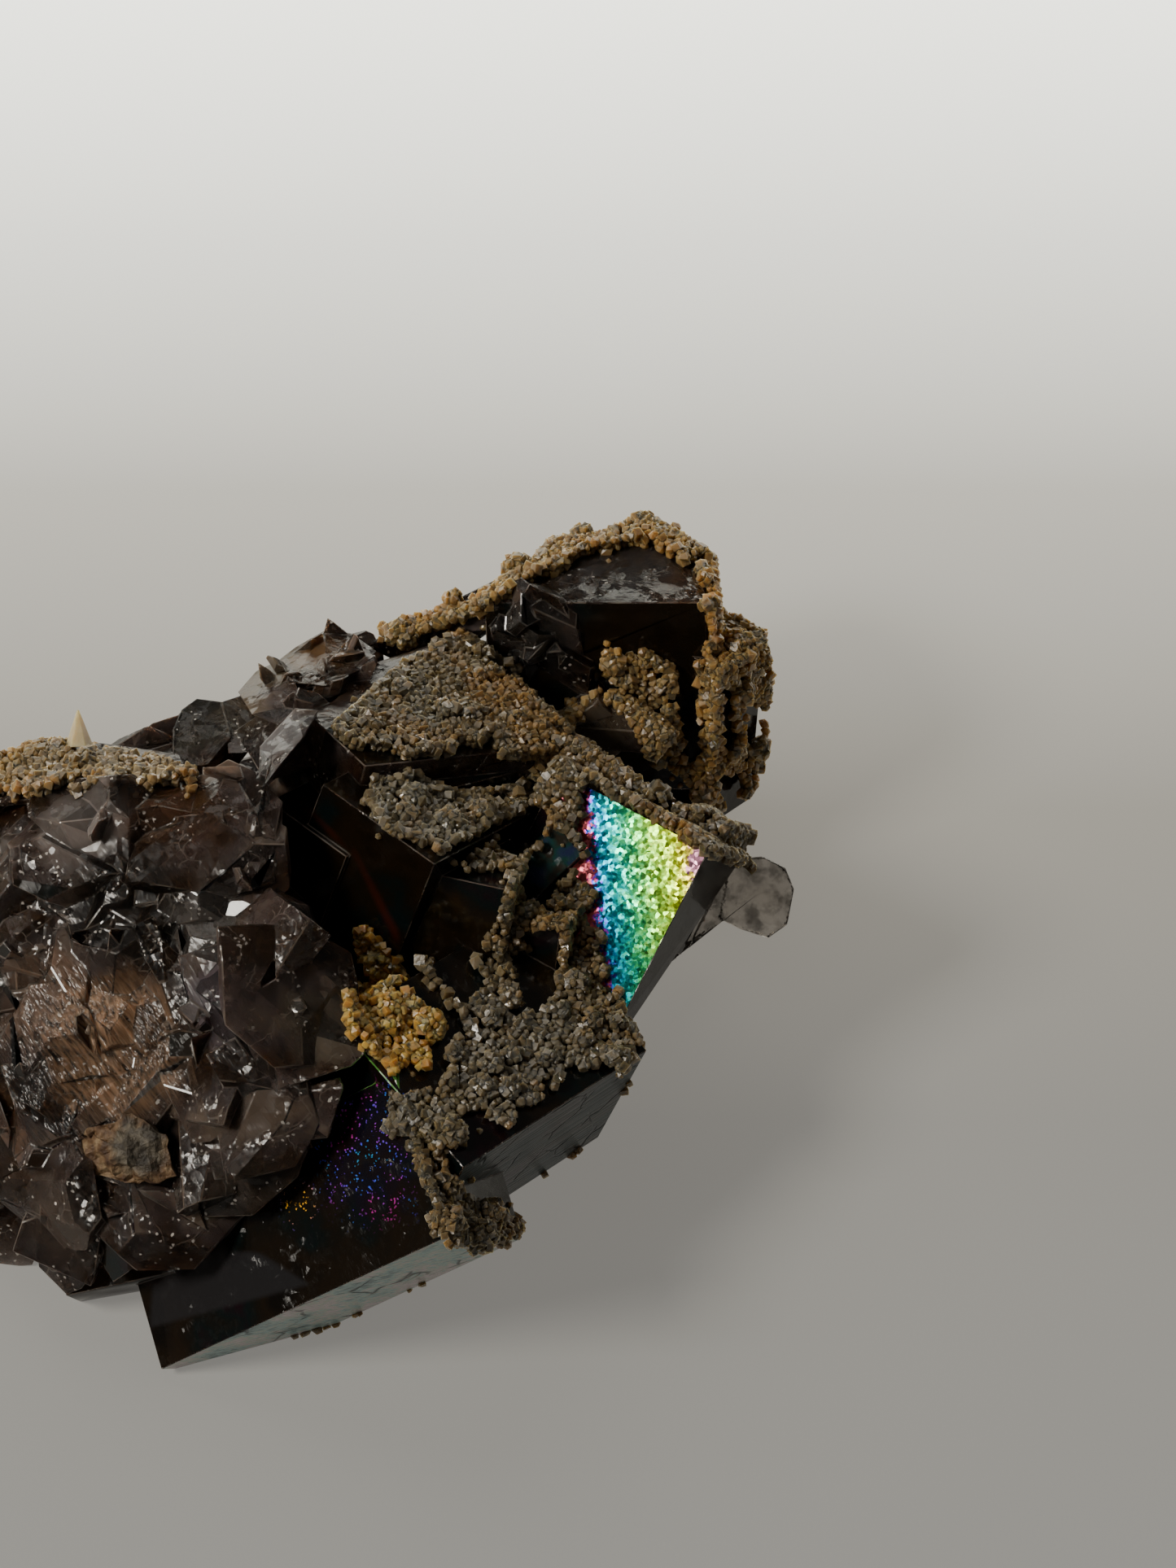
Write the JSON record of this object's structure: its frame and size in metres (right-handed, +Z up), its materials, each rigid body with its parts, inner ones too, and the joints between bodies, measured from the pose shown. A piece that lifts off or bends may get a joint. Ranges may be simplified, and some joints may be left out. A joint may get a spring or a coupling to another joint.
{
  "type": "fluorite with calcite specimen",
  "caption": "Cluster of dark smoky fluorite cubes with a sugary calcite crust, an iridescent cube face and a cleaved broken side, resting on a flat broken underside.",
  "frame": {"origin": "on the resting plane, under the middle of the specimen's box", "axes": "+Z up from the flat broken underside, +X to the viewer's right and +Y away from the viewer of the best side"},
  "size_m": [0.0854, 0.0786, 0.0355],
  "materials": {
    "smoky_fluorite": "glassy, nearly black smoky crystal, iridescent on some faces, cleaved and greyer on the broken side",
    "clear_fluorite": "grey translucent cleaved plate",
    "calcite": "sugary tan grains, slightly glossy",
    "stained_calcite": "iron-stained ochre grains",
    "matrix": "rough ochre and grey host rock"
  },
  "bodies": {
    "root": {"fluorite_cluster": "smoky_fluorite", "rear_fluorite": "smoky_fluorite", "side_blade": "clear_fluorite", "calcite_crust_front": "calcite", "calcite_crust_rear": "calcite", "calcite_crust_ledge": "calcite", "calcite_spike": "calcite", "stained_calcite": "stained_calcite", "matrix_remnant": "matrix"}
  },
  "joints": []
}
